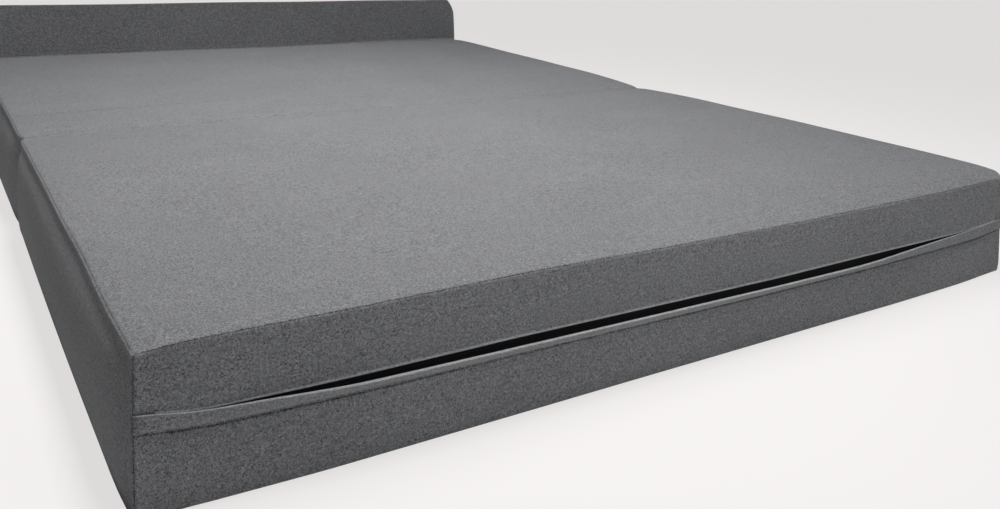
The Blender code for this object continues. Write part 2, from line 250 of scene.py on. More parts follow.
# The covers of the foot, the seat and the backrest
# Each is a top and a bottom panel and a boxing strip, sewn together along every edge and drawn
# over a foam block. The sides belly a little, and the corners are pulled down by their seams.
CORNER_TOP_HALF = 600 * MM
CORNER_BOTTOM_HALF = 606 * MM
# How far the cloth swells over its foam
SWELL_PRESSURE = 4.0
SWELL_FRAMES = 20
SWELL_CAP = 2.2 * MM
SWELL_EDGE = 16 * MM
SWELL_STEPS = 3
# The cells of a panel
FINE_STEPS = [step * MM for step in (1.0, 2.2, 3.6, 5.4, 8.0, 12.0, 17.0, 24.0)]
PANEL_CELL = 20 * MM
SIDE_CELL = 12 * MM
# How the sides, the corners and the ends hang, with -1 for the left and 1 for the right
SIDE_BELLY = 4 * MM
SIDE_BOW = {-1: 2.2 * MM, 1: 3 * MM}
FRONT_BELLY = 3 * MM
FRONT_BOW = 3 * MM
BOTTOM_ROLL = 5 * MM
BOTTOM_ROLL_REACH = 20 * MM
TOP_ROLL = 1.2 * MM
TOP_ROLL_REACH = 26 * MM
CROWN_REACH = 260 * MM
EAR_DROP = {-1: 4.6 * MM, 1: -0.5 * MM}
EAR_REACH = 20 * MM
CORNER_REACH = 90 * MM
CORNER_ROUNDING = 6 * MM
CORNER_ROUNDING_REACH = 34 * MM
SEAM_WAVE = 2.6 * MM
SEAM_WAVE_LENGTH = 0.22
CORNER_SLACK = {-1: 0.05, 1: 0.9}
# The foot's front right corner stands out, and the bottom of that face leans forward
PUFF_OUT = 19 * MM
PUFF_UP = 3 * MM
PUFF_REACH = 30 * MM
BOTTOM_FLARE_HEIGHT = 70 * MM
SAG_REACH = 70 * MM
# The seat's welt in front of the bolster, and the slow waves of the cloth
WELT_SINK = 9 * MM
PUSH_REACH = 80 * MM
SURFACE_WAVE = 1.2 * MM
WELT_HEIGHT = 7.5 * MM
WELT_WIDTH = 5 * MM
# A seam's stitch line, its folded allowance and the dip beside it
GROOVE_DEPTH = 1.3 * MM
GROOVE_WIDTH = 1.3 * MM
RIDGE_HEIGHT = 1.0 * MM
RIDGE_PLACE = 2.9 * MM
TROUGH_DEPTH = 1.4 * MM
TROUGH_PLACE = 12 * MM
TROUGH_WIDTH = 9 * MM
# The zip's window and the cloth round it
WINDOW_LOW = 58 * MM
WINDOW_HIGH = 86 * MM
WINDOW_HALF = 588 * MM
ROOT_TUCK = 3.2 * MM
ROOT_TUCK_REACH = 11 * MM
LIP_FLARE = 1.4 * MM
LIP_FLARE_REACH = 12 * MM
LIP_FLARE_ENDS = (-560 * MM, -400 * MM)
HEM_SHOWS = 1.5 * MM
ROOT_LAP = 0.6 * MM
# Where across and along the bed those forms begin and end
PUFF_ACROSS = (100 * MM, 550 * MM)
PUFF_ALONG = (150 * MM, 950 * MM)
SAG_ACROSS = (-280 * MM, 220 * MM)
SAG_END = (430 * MM, 600 * MM)
SAG_END_SHARE = 0.45
TUCK_SIDE = (2 * MM, 30 * MM)
WELT_SINK_ACROSS = (0, 600 * MM)
# Rows of cells beside a seam, and how soft each seam's painted shade is
CREASE_STEPS = [step * MM for step in (-3, -1, 0, 1, 3)]
BELOW_ZIP_STEPS = [step * MM for step in (14, 9, 5, 4, 2.5, 1, 0)]
ABOVE_ZIP_STEPS = [step * MM for step in (0, 1.5, 3.5, 7)]
FAINT_SEAM = 1.3 * MM
FAINT_ACROSS = (-500 * MM, 100 * MM)
SURFACE_WAVES = 5
SURFACE_WAVE_HEIGHT = 90 * MM
RIDGE_REACH = 60 * MM
# How far below the window the painted shadow line under the strip lies, how soft it is, and the band where
# the side seams' painted shade is softer
STRIP_SEAM_DROP = 2.5 * MM
SOFT_SEAM = 0.5 * MM
TOP_SEAM_BAND = 4 * MM
# How near a point must lie to a seam or a face to count as on it
ON_SEAM = 1e-6


def marks(length, cell, others=()):
    """Places for a panel's rows of cells: fine next to its edges, even between them."""
    fine = [0.0, *FINE_STEPS]
    places = {*fine, *(length - step for step in fine), *others}
    places = sorted(place for place in places if 0 <= place <= length)
    filled = []
    for here, there in zip(places, places[1:]):
        count = max(1, round((there - here) / cell))
        filled += [here + (there - here) * number / count for number in range(count)]
    return np.array([*filled, length])


def block(name, columns, rows, layers):
    """A cube cut into rows of cells along each axis, and the row that each point is in."""
    bpy.ops.object.select_all(action="DESELECT")
    bpy.ops.mesh.primitive_cube_add(size=1, location=(0.5, 0.5, 0.5))
    bpy.ops.object.transform_apply(location=True, rotation=False, scale=False)
    piece = bpy.context.object
    piece.name = name
    bpy.context.tool_settings.mesh_select_mode = (False, True, False)
    for axis, places in enumerate((columns, rows, layers)):
        if len(places) < 3:
            continue
        ends = np.array([edge.vertices[:] for edge in piece.data.edges])
        points = points_of(piece)
        along = np.abs(points[ends[:, 0], axis] - points[ends[:, 1], axis]) > 0.5
        piece.data.vertices.foreach_set("select", np.zeros(len(points), bool))
        piece.data.polygons.foreach_set("select", np.zeros(len(piece.data.polygons), bool))
        piece.data.edges.foreach_set("select", along)
        bpy.ops.object.mode_set(mode="EDIT")
        bpy.ops.mesh.subdivide(number_cuts=len(places) - 2)
        bpy.ops.object.mode_set(mode="OBJECT")
    counts = [len(columns) - 1, len(rows) - 1, len(layers) - 1]
    return piece, np.rint(points_of(piece) * counts).astype(int)


def points_of(piece):
    """A piece's points as an array."""
    points = np.zeros(len(piece.data.vertices) * 3)
    piece.data.vertices.foreach_get("co", points)
    return points.reshape(-1, 3)


def put_points(piece, points):
    """Moves a piece's points."""
    piece.data.vertices.foreach_set("co", points.astype(np.float32).ravel())
    piece.data.update()


def normals_of(piece):
    """A piece's outward directions at its points."""
    normals = np.zeros(len(piece.data.vertices) * 3)
    piece.data.vertices.foreach_get("normal", normals)
    return normals.reshape(-1, 3)


def near(distance, reach):
    """One at no distance, and smoothly nothing from the reach on."""
    return np.clip(1 - distance / reach, 0, 1) ** 2


def ramp(place, start, end):
    """Nothing before the start, and smoothly one from the end on."""
    share = np.clip((place - start) / (end - start), 0, 1)
    return share * share * (3 - 2 * share)


def line(stations, place):
    """A smooth line through a few heights in millimetres at places in metres across the bed."""
    places, heights = zip(*stations)
    spread = [np.interp(place + shift * MM, places, heights) for shift in (-16, -8, 0, 8, 16)]
    return sum(spread) / len(spread) * MM


def give(piece, cushion):
    """Gives a piece of the foot section its own copy of its mesh."""
    if cushion.body == "foot_section":
        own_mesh(piece)


# Where the zip's opening lies: the folded edge above it, and the root of the strip below it
LIP_LINE = (
    (-0.61, 97.0), (-0.59, 93.5), (-0.575, 90.0), (-0.55, 86.5), (-0.45, 85.3), (-0.25, 85.1), (-0.05, 82.3),
    (0.12, 79.8), (0.30, 79.7), (0.49, 77.7), (0.55, 78.7), (0.61, 82.7),
)
ROOT_LINE = (
    (-0.61, 81.0), (-0.59, 78.0), (-0.575, 75.0), (-0.55, 72.0), (-0.45, 69.8), (-0.20, 66.0), (0.0, 63.1),
    (0.12, 61.1), (0.30, 59.3), (0.40, 59.9), (0.50, 60.3), (0.55, 61.0), (0.58, 64.5), (0.61, 68.0),
)
# How far the bottom of that face leans out
FLARE_LINE = ((-0.61, 0), (-0.56, 1.5), (-0.45, 6), (-0.1, 7), (0.2, 9.5), (0.35, 12), (0.5, 11.5), (0.61, 6))
CALM_LIP = 81 * MM
CALM_ROOT = 63.5 * MM


class Cushion:
    """The lines of one section, and how its cloth lies."""

    def __init__(self, prefix, body, front_height, rear_height, zip_side, gape, shoulder, reach):
        self.prefix, self.body = prefix, body
        low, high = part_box(prefix + "_cover")
        self.front, self.rear = low.y, high.y
        self.front_height, self.rear_height = front_height, rear_height
        self.zip_side, self.gape = zip_side, gape
        self.face, self.inner_face = (self.front, self.rear) if zip_side < 0 else (self.rear, self.front)
        self.face_height = front_height if zip_side < 0 else rear_height
        self.shoulder, self.shoulder_reach = shoulder, reach
        self.crowns = {-1: 0.0, 1: 0.0}
        self.zip_bulge = 1.0
        self.sag = 0.0
        self.narrower = 0.0
        self.rounding = CORNER_ROUNDING
        self.inner_slack = 0.0
        self.puff = 0.0
        self.welt = False

    def lip(self, x):
        """The height of the folded edge above the zip."""
        return CALM_LIP + self.gape * (line(LIP_LINE, x) - CALM_LIP)

    def root(self, x):
        """The height at which the strip below the zip is sewn on."""
        return CALM_ROOT + self.gape * (line(ROOT_LINE, x) - CALM_ROOT)

    def part_lips(self, nominal):
        """Moves the rows next to the zip's window up to the lip and down to the strip."""
        x, y, z = nominal.T
        top = self.face_height
        fade = np.clip(1 - np.abs(y - self.face) / PUSH_REACH, 0, 1)
        rise = z * top / self.front_height
        above = np.clip((top - rise) / (top - WINDOW_HIGH), 0, 1)
        below = np.clip(rise / WINDOW_LOW, 0, 1)
        upper = (self.lip(x) + HEM_SHOWS - WINDOW_HIGH) * above
        lower = (self.root(x) + ROOT_LAP - WINDOW_LOW) * below
        moved = rise + fade * np.where(rise > (WINDOW_LOW + WINDOW_HIGH) / 2, upper, lower)
        return np.stack([x, y, moved * self.front_height / top], axis=1)

    def drape(self, nominal, welted=True):
        """Where the cloth lies, and how far each of its points is from the nearest seam."""
        x, y, rise = nominal.T
        length = self.rear - self.front
        share = np.clip((y - self.front) / length, 0, 1)
        height = self.front_height + (self.rear_height - self.front_height) * share
        half = CORNER_BOTTOM_HALF
        u, v, w = x / half, 2 * share - 1, rise / self.front_height
        z = w * height
        from_side = half - np.abs(x)
        from_ends = {-1: y - self.front, 1: self.rear - y}
        from_end = np.minimum(from_ends[-1], from_ends[1])
        from_top = height - z
        on_top, on_bottom = from_top < ON_SEAM, z < ON_SEAM
        on_side, on_end = from_side < ON_SEAM, from_end < ON_SEAM
        flat = on_top | on_bottom
        seam = np.minimum(from_side, from_end)
        upright = np.minimum(from_top, z)
        seam = np.where(on_side & ~flat, np.minimum(upright, from_end), seam)
        seam = np.where(on_end & ~flat, np.minimum(upright, from_side), seam)
        seam = np.where((on_side & on_end) | (flat & (on_side | on_end)), 0, seam)
        belly = 1 - (2 * w - 1) ** 2
        across = np.sign(x)
        slack = np.where(x > 0, CORNER_SLACK[1], CORNER_SLACK[-1])
        slack = np.where(from_ends[self.zip_side] < length / 2, slack, np.maximum(slack, self.inner_slack))
        clear = 1 - (1 - slack) * near(from_end, CORNER_REACH)
        places = zip(across, y / SEAM_WAVE_LENGTH)
        wave = np.array([noise.noise(Vector((side, place, 0))) for side, place in places])
        wave = SEAM_WAVE * wave * clear * w**4
        bow = np.where(x > 0, SIDE_BOW[1], SIDE_BOW[-1])
        side = half + (CORNER_TOP_HALF - half) * w + bow * (1 - v**2) * (1 - 0.5 * w) + wave
        side = side - self.narrower
        puffed = self.puff * ramp(x, *PUFF_ACROSS) * ramp(-y, *PUFF_ALONG)
        side = side + PUFF_OUT * puffed * w**3 * (1 - near(from_end, PUFF_REACH))
        side += (SIDE_BELLY * belly + self.shoulder * (1 - near(from_top, self.shoulder_reach))) * clear
        side -= BOTTOM_ROLL * near(z, BOTTOM_ROLL_REACH) * clear
        drop, push = 0, 0
        for end, from_this in from_ends.items():
            outer = end == self.zip_side
            drop = drop + self.crowns[end] * near(from_this, CROWN_REACH)
            if outer:
                ear = np.where(x > 0, EAR_DROP[1], EAR_DROP[-1])
                drop = drop + ear * np.exp(-np.hypot(from_side, from_this) / EAR_REACH)
                sunk = ramp(x, *SAG_ACROSS) * (1 - SAG_END_SHARE * ramp(x, *SAG_END))
                drop = drop + self.sag * sunk * near(from_this, SAG_REACH)
                drop = drop - PUFF_UP * puffed * (1 - near(from_this, PUFF_REACH))
                flare = LIP_FLARE * near(z - self.lip(x), LIP_FLARE_REACH) * (z > CALM_ROOT)
                bulge = FRONT_BELLY * belly * (1 - u**4) + FRONT_BOW * (1 - u**2)
                bulge = bulge + flare * ramp(-np.abs(x), *LIP_FLARE_ENDS)
                lean = self.gape * line(FLARE_LINE, x) * np.clip(1 - z / BOTTOM_FLARE_HEIGHT, 0, 1) ** 1.4
                bulge = bulge * self.zip_bulge + lean
                tucked = near(np.abs(self.root(x) - z), ROOT_TUCK_REACH) * ramp(from_side, *TUCK_SIDE)
                bulge = bulge - ROOT_TUCK * tucked
                push = push + end * bulge * np.clip(1 - from_this / PUSH_REACH, 0, 1)
            else:
                side = side - self.rounding * near(from_this, CORNER_ROUNDING_REACH)
        drop = drop + TOP_ROLL * near(from_side, TOP_ROLL_REACH) * clear
        drop = drop + 0.6 * TOP_ROLL * near(from_end, TOP_ROLL_REACH)
        if self.welt:
            edge = near(from_ends[1], WELT_WIDTH) ** 0.5
            drop = drop - WELT_HEIGHT * edge * (3 - 2 * edge) * edge * welted
            sink = WELT_SINK * near(from_ends[1], CORNER_REACH)
            drop = drop + sink * (1 - 0.5 * ramp(x, *WELT_SINK_ACROSS))
        draped = np.stack([u * side, y + push, z - w**4 * drop], axis=1)
        return draped, seam

    def on_face(self, x, height):
        """Points of the draped zip face at places across the bed and heights."""
        rise = height * self.front_height / self.face_height
        return self.drape(np.stack([x, np.full(len(x), self.face), rise], axis=1))[0]


def settle(cover, sewn):
    """Lets the cloth swell a little over the foam, between the points that are sewn or rest."""
    group = cover.vertex_groups.new(name="sewn")
    group.add([int(number) for number in np.nonzero(sewn)[0]], 1.0, "REPLACE")
    before = points_of(cover)
    bpy.ops.object.modifier_add(type="CLOTH")
    woven_sheet = cover.modifiers["Cloth"].settings
    woven_sheet.vertex_group_mass = group.name
    woven_sheet.use_pressure = True
    woven_sheet.uniform_pressure_force = SWELL_PRESSURE
    woven_sheet.quality = SWELL_STEPS
    woven_sheet.effector_weights.gravity = 0
    cover.modifiers["Cloth"].collision_settings.use_collision = False
    for number in range(1, SWELL_FRAMES + 1):
        bpy.context.scene.frame_set(number)
    bpy.ops.object.modifier_apply(modifier="Cloth")
    bpy.context.scene.frame_set(1)
    moved = points_of(cover) - before
    moved *= SWELL_CAP / (SWELL_CAP + np.linalg.norm(moved, axis=1))[:, None]
    put_points(cover, before + moved)
    cover.vertex_groups.clear()


def surface_wave(points):
    """How far the cloth's slow, random waves raise each point."""
    return SURFACE_WAVE * np.array([noise.noise(Vector(point) * SURFACE_WAVES) for point in points])


def sew_cover(cushion, crosswise=()):
    """One cover, draped over its foam and cut open for its zip, with its seams pressed in."""
    length = cushion.rear - cushion.front
    half = CORNER_BOTTOM_HALF
    window = [half - WINDOW_HALF, half + WINDOW_HALF]
    beside = [place + step for place in crosswise for step in CREASE_STEPS]
    columns = marks(2 * half, PANEL_CELL, window) - half
    rows = marks(length, PANEL_CELL, beside) + cushion.front
    share = cushion.front_height / cushion.face_height
    lips = [WINDOW_LOW - step for step in BELOW_ZIP_STEPS]
    lips += [WINDOW_HIGH + step for step in ABOVE_ZIP_STEPS]
    layers = marks(cushion.front_height, SIDE_CELL, [place * share for place in lips])
    cover, steps = block(cushion.prefix + "_cover_cloth", columns, rows, layers)
    nominal = np.stack([columns[steps[:, 0]], rows[steps[:, 1]], layers[steps[:, 2]]], axis=1)
    draped, seam = cushion.drape(cushion.part_lips(nominal))
    on_top = nominal[:, 2] > cushion.front_height - ON_SEAM
    # Painted shade also runs along the crosswise seams on the top, fainter towards the right
    for place in crosswise:
        distance = np.abs(rows[steps[:, 1]] - cushion.front - place)
        faint = FAINT_SEAM * ramp(draped[:, 0], *FAINT_ACROSS)
        seam = np.where(on_top, np.minimum(seam, distance + faint), seam)
    rise = near(SURFACE_WAVE_HEIGHT - draped[:, 2], SURFACE_WAVE_HEIGHT)
    draped[:, 2] += surface_wave(draped) * rise
    put_points(cover, draped)
    on_zip_face = np.abs(nominal[:, 1] - cushion.face) < ON_SEAM
    on_inner_face = np.abs(nominal[:, 1] - cushion.inner_face) < SWELL_EDGE
    level = np.abs(nominal[:, 2] / share - (WINDOW_LOW + WINDOW_HIGH) / 2)
    beside_zip = on_zip_face & (level < SWELL_EDGE * 1.5)
    on_welt = cushion.welt & (cushion.rear - nominal[:, 1] < SWELL_EDGE)
    resting = (nominal[:, 2] < ON_SEAM) | on_inner_face | beside_zip
    settle(cover, resting | (seam < ON_SEAM) | on_welt)
    from_top = nominal[:, 2] - cushion.front_height
    from_side = half - np.abs(nominal[:, 0])
    ridge = np.where(np.abs(from_side) < ON_SEAM, 1, near(from_side, RIDGE_REACH)) * (from_top < -ON_SEAM)
    press_seams(cover, seam, ridge)
    # Painted shadow: a dark line along the zip face just below the strip's root, and a softer painted line
    # where the side seams meet the top
    painted_shadow_below_strip = np.abs(nominal[:, 2] / share - WINDOW_LOW + STRIP_SEAM_DROP) + SOFT_SEAM
    seam = np.where(on_zip_face, np.minimum(seam, painted_shadow_below_strip), seam)
    side_seam = (from_top > -TOP_SEAM_BAND) & (from_side < TOP_SEAM_BAND)
    seam = np.where(side_seam, seam + SOFT_SEAM, seam)
    store = cover.data.attributes.new("seam", "FLOAT", "POINT")
    store.data.foreach_set("value", seam.astype(np.float32))
    cut_window(cover, cushion, columns, layers, steps, share)
    cover.data.materials.append(cloth.material)
    bpy.ops.object.shade_smooth()
    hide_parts(cushion.prefix + "_cover")
    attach(cover, cushion.body)
    give(cover, cushion)
    return cover


def press_seams(piece, seam, ridge):
    """Presses the stitch line into the cloth and raises the folded allowance beside it."""
    depth = GROOVE_DEPTH * np.exp(-((seam / GROOVE_WIDTH) ** 2))
    depth -= ridge * RIDGE_HEIGHT * np.exp(-(((seam - RIDGE_PLACE) / GROOVE_WIDTH) ** 2))
    depth += (ridge > 0) * TROUGH_DEPTH * np.exp(-(((seam - TROUGH_PLACE) / TROUGH_WIDTH) ** 2))
    points = points_of(piece) - normals_of(piece) * depth[:, None]
    points[:, 2] = np.maximum(points[:, 2], 0)
    put_points(piece, points)


def cut_window(cover, cushion, columns, layers, steps, share):
    """Takes out the cells of the zip's window."""
    face = 0 if cushion.zip_side < 0 else steps[:, 1].max()
    on_face = steps[:, 1] == face
    level = layers[steps[:, 2]] / share
    inside = on_face & (np.abs(columns[steps[:, 0]]) < WINDOW_HALF + ON_SEAM)
    inside &= (level > WINDOW_LOW - ON_SEAM) & (level < WINDOW_HIGH + ON_SEAM)
    bpy.context.tool_settings.mesh_select_mode = (False, False, True)
    picked = [all(inside[corner] for corner in cell.vertices) for cell in cover.data.polygons]
    cover.data.vertices.foreach_set("select", np.zeros(len(steps), bool))
    cover.data.edges.foreach_set("select", np.zeros(len(cover.data.edges), bool))
    cover.data.polygons.foreach_set("select", picked)
    bpy.ops.object.mode_set(mode="EDIT")
    bpy.ops.mesh.delete(type="FACE")
    bpy.ops.object.mode_set(mode="OBJECT")


PAD = 6 * 25.4 * MM
RIDGE = 268 * MM
SECOND_SEAM = 152 * MM
foot = Cushion("foot", "foot_section", PAD, PAD, -1, 1.0, 7 * MM, 90 * MM)
foot.crowns = {-1: 0.8 * MM, 1: 6.2 * MM}
foot.sag = 5.5 * MM
foot.puff = 1.0
seat = Cushion("seat", "seat_section", PAD, PAD, 1, 0.0, 7 * MM, 90 * MM)
seat.crowns = {-1: 6.2 * MM, 1: 0.8 * MM}
seat.zip_bulge = 0.0
seat.welt = True
back = Cushion("back", "back_rest", RIDGE, PAD, 1, 0.5, 18 * MM, 46 * MM)
back.crowns = {-1: 0.5 * MM, 1: 0.8 * MM}
back.narrower = 16 * MM
back.rounding = 2 * MM
back.inner_slack = 1.0
foot_cover = sew_cover(foot)
seat_cover = sew_cover(seat, (SECOND_SEAM, seat.rear - seat.front - WELT_WIDTH))
back_cover = sew_cover(back)


# The foam blocks
# Each is one cut block of cream open-cell foam, a little smaller than its cover, with a shallow
# channel behind the zip so that the slider runs free.
FOAM_COLOUR = (0.70, 0.62, 0.44)
FOAM_GAP = 4.5 * MM
FOAM_CELL = 40 * MM
CHANNEL_LOW = 58 * MM
CHANNEL_HIGH = 94 * MM
CHANNEL_DEPTH = 13 * MM
CHANNEL_SLOPE = 4 * MM
CHANNEL_SHARE = 0.7
CHANNEL_END_SHARE = 0.3
CHANNEL_PAST_WINDOW = 9 * MM
ROOF_SHARE = 0.95
PORE = 1.6 * MM

sponge = Finish("cream_foam", 0.95)
pores = sponge.node("ShaderNodeTexVoronoi", {}, {"Vector": sponge.place, "Scale": 1 / PORE})
patches = sponge.grain(0.05, 3.0)
sponge.paint(sponge.shade(FOAM_COLOUR, 0.7 + 0.35 * pores + 0.25 * patches))
sponge.relief(pores, 0.5 * MM)


def cut_foam(cushion):
    """The foam block inside one cover."""
    half = CORNER_BOTTOM_HALF
    share = cushion.front_height / cushion.face_height
    channel = [CHANNEL_LOW - CHANNEL_SLOPE, CHANNEL_LOW, CHANNEL_HIGH, CHANNEL_HIGH + CHANNEL_SLOPE]
    channel_half = WINDOW_HALF + CHANNEL_SHARE * cushion.narrower
    columns = marks(2 * half, FOAM_CELL, [half - channel_half, half + channel_half]) - half
    rows = marks(cushion.rear - cushion.front, FOAM_CELL) + cushion.front
    layers = marks(cushion.front_height, FOAM_CELL, [place * share for place in channel])
    foam, steps = block(cushion.prefix + "_foam_block", columns, rows, layers)
    nominal = np.stack([columns[steps[:, 0]], rows[steps[:, 1]], layers[steps[:, 2]]], axis=1)
    points, seam = cushion.drape(nominal, welted=False)
    put_points(foam, points)
    points -= normals_of(foam) * FOAM_GAP
    back_share = np.clip((points[:, 1] - cushion.front) / (cushion.rear - cushion.front), 0, 1)
    roof = cushion.front_height + (cushion.rear_height - cushion.front_height) * back_share - FOAM_GAP
    over_roof = np.maximum(points[:, 2] - roof, 0)
    points[:, 2] -= ROOF_SHARE * over_roof
    if cushion.zip_side > 0:
        points[:, 1] += ROOF_SHARE * np.maximum(cushion.front + FOAM_GAP - points[:, 1], 0)
    channel_end = WINDOW_HALF + CHANNEL_PAST_WINDOW
    low, high = CHANNEL_LOW - CHANNEL_SLOPE / 2, CHANNEL_HIGH + CHANNEL_SLOPE / 2
    behind = (points[:, 2] > low) & (points[:, 2] < high) & (np.abs(points[:, 0]) < channel_end)
    from_face = np.abs(nominal[:, 1] - cushion.face)
    behind &= from_face < CHANNEL_DEPTH
    floor_depth = CHANNEL_DEPTH + CHANNEL_END_SHARE * from_face
    points[behind, 1] = (cushion.face - cushion.zip_side * floor_depth)[behind]
    put_points(foam, points)
    foam.data.materials.append(sponge.material)
    bpy.ops.object.shade_smooth()
    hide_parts(cushion.prefix + "_foam")
    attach(foam, cushion.body)
    give(foam, cushion)


for cushion in (foot, seat, back):
    cut_foam(cushion)


# The zip's lips
# Above the zip the cover's panel ends in a folded hem. Below it a doubled strip of the same
# cloth is sewn on, which covers the zip when it is closed and leans out where it stands open.
STRIP_WIDTH = 16 * MM
STRIP_THICKNESS = 1.1 * MM
STRIP_ENDS = (-605.6 * MM, 611 * MM)
STRIP_STEP = 10 * MM
STRIP_PROUD = 0.5 * MM
STRIP_LEAN = 9.5 * MM
STRIP_BELLY = 3 * MM
LIP_OVERLAP = 0.8 * MM
HEM_ENDS = (-589 * MM, 589 * MM)
HEM_WIDTH = 12 * MM
HEM_BEAD = 1.5 * MM
CREST_BEAD = 1.7 * MM
END_BEAD = 0.8 * MM
FOLD_STEPS = np.array([0.05, 0.3, 0.8, 1.4, 2.1, 3.0, 4.2, 6.0, 8.5, 11.0, 13.5, 16.0, 18.5]) * MM
STRIP_ROOT_SINK = 6 * MM
STEEPEST_SLOPE = 0.9
OPENS_AT = (-620 * MM, -400 * MM)
SHUTS_AT = (240 * MM, 580 * MM)
HEM_END_BEAD = 0.5 * MM
HEM_FLAT = 0.4 * MM
HEM_SINK = 1.5 * MM
HEM_SINK_REACH = 4.2 * MM
# How narrow the painted highlight along each fold is
STRIP_HIGHLIGHT_SCALE = 1.0
HEM_HIGHLIGHT_SCALE = 0.5
# The folded strips are the cover's cloth painted a touch lighter, as painted light
LIT_FOLD_COLOUR = (0.215, 0.217, 0.223)

folded = Finish("folded_cloth_painted_highlight", 0.9)
folded.shader.inputs["Sheen Weight"].default_value = SHEEN
folded.shader.inputs["Sheen Roughness"].default_value = SHEEN_ROUGHNESS
woven(folded, LIT_FOLD_COLOUR, folds=True)
plain = Finish("plain_cover_cloth", 0.92)
woven(plain, CLOTH_COLOUR)


def teardrop(distance, bead, flat):
    """Half of a folded strip's thickness at a distance from its fold."""
    round_part = np.sqrt(np.maximum(bead**2 - (bead - np.minimum(distance, bead)) ** 2, 0))
    taper = flat + (bead - flat) * near(distance - bead, 3 * bead)
    return np.where(distance < bead, round_part, taper)


def parted(x):
    """How far the lips stand apart: nothing at the zip's ends, one in the middle."""
    return ramp(x, *OPENS_AT) * (1 - ramp(x, *SHUTS_AT))


def face_outwards():
    """Turns all the faces of the active piece outwards."""
    bpy.ops.object.mode_set(mode="EDIT")
    bpy.ops.mesh.select_all(action="SELECT")
    bpy.ops.mesh.normals_make_consistent(inside=False)
    bpy.ops.object.mode_set(mode="OBJECT")


def fold_strip(name, cushion, ends, shape, highlight_scale):
    """A closed strip of folded cloth across the bed, whose shape gives its line and thickness."""
    columns = np.linspace(*ends, round((ends[1] - ends[0]) / STRIP_STEP) + 1)
    strip, steps = block(name, columns, [0, 1], FOLD_STEPS)
    x, distance = columns[steps[:, 0]], FOLD_STEPS[steps[:, 2]]
    out, up, half_thickness, tilt = shape(x, distance)
    skin = np.where(steps[:, 1] == 0, 1, -1)
    points = cushion.on_face(x, up)
    outward = out + skin * half_thickness * np.cos(tilt)
    points[:, 1] += cushion.zip_side * outward
    points[:, 2] -= skin * half_thickness * np.sin(tilt)
    put_points(strip, points)
    face_outwards()
    bpy.ops.object.shade_smooth()
    strip.data.materials.append(folded.material)
    # The scaled distance from the fold, which places the painted highlight
    store = strip.data.attributes.new("from_fold", "FLOAT", "POINT")
    store.data.foreach_set("value", (distance * highlight_scale).astype(np.float32))
    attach(strip, cushion.body)
    give(strip, cushion)
    return strip


def fold_placket(cushion):
    """The strip below the zip."""

    def shape(x, distance):
        open_here = parted(x) * cushion.gape
        lean = STRIP_LEAN * open_here
        closed = cushion.lip(x) - cushion.root(x) + LIP_OVERLAP
        rise = closed + (np.sqrt(STRIP_WIDTH**2 - lean**2) - closed) * open_here**0.5
        along = (STRIP_WIDTH - distance) / STRIP_WIDTH
        bead = END_BEAD + (CREST_BEAD - END_BEAD) * open_here
        sunk = np.minimum(along, 0) * STRIP_ROOT_SINK
        arch = np.clip(along, 0, 1)
        out = STRIP_PROUD * (along > 0) + (lean - STRIP_BELLY) * arch
        out = out + STRIP_BELLY * (1 - (1 - arch) ** 3) + sunk
        up = cushion.root(x) + rise * arch
        slope = (lean - STRIP_BELLY + 3 * STRIP_BELLY * (1 - arch) ** 2) / STRIP_WIDTH
        tilt = np.arcsin(np.minimum(slope, STEEPEST_SLOPE))
        return out, up, teardrop(distance, bead, STRIP_THICKNESS / 2), tilt

    strip = fold_strip(cushion.prefix + "_placket_strip", cushion, STRIP_ENDS, shape, STRIP_HIGHLIGHT_SCALE)
    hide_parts(cushion.prefix + "_zip_placket")


def fold_hem(cushion):
    """The hem above the zip."""

    def shape(x, distance):
        bead = HEM_END_BEAD + (HEM_BEAD - HEM_END_BEAD) * parted(x) * cushion.gape
        out = -HEM_SINK * ramp(distance, bead, HEM_SINK_REACH)
        up = cushion.lip(x) + np.minimum(distance, HEM_WIDTH)
        return out, up, teardrop(distance, bead, HEM_FLAT), 0 * x

    hem = fold_strip(cushion.prefix + "_folded_hem", cushion, HEM_ENDS, shape, HEM_HIGHLIGHT_SCALE)
    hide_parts(cushion.prefix + "_zip_upper_lip")


for cushion in (foot, seat, back):
    fold_placket(cushion)
    fold_hem(cushion)


# The zip tapes
# Two black woven polyester tapes, sewn behind the lips, each with a coil along its inner edge.
TAPE_COLOUR = (0.012, 0.012, 0.013)
TAPE_STEP = 12 * MM
TAPE_RIB = 1.1 * MM
TAPE_WAVE = 0.25 * MM
TAPE_OVERLAP = 6 * MM
TAPE_BEHIND = 2.2 * MM
TAPE_IN_COIL = 3.15 * MM
TAPE_WAVES = 31
TAPE_SHARES = np.array([0, 0.08, 0.16, 0.25, 0.35, 0.45, 0.55, 0.65, 0.75, 0.85, 0.93, 1])

tape_cloth = Finish("black_zip_tape", 0.8)
tape_x, _, tape_z = tape_cloth.axes(tape_cloth.place)
ribs = ((tape_x + tape_z) * (2 * math.pi / TAPE_RIB)).sine()
tape_cloth.paint(tape_cloth.shade(TAPE_COLOUR, 0.9 + 0.2 * ribs + 0.4 * tape_cloth.grain(1.2 * MM)))
tape_cloth.relief(ribs + tape_cloth.grain(0.8 * MM), 0.15 * MM)


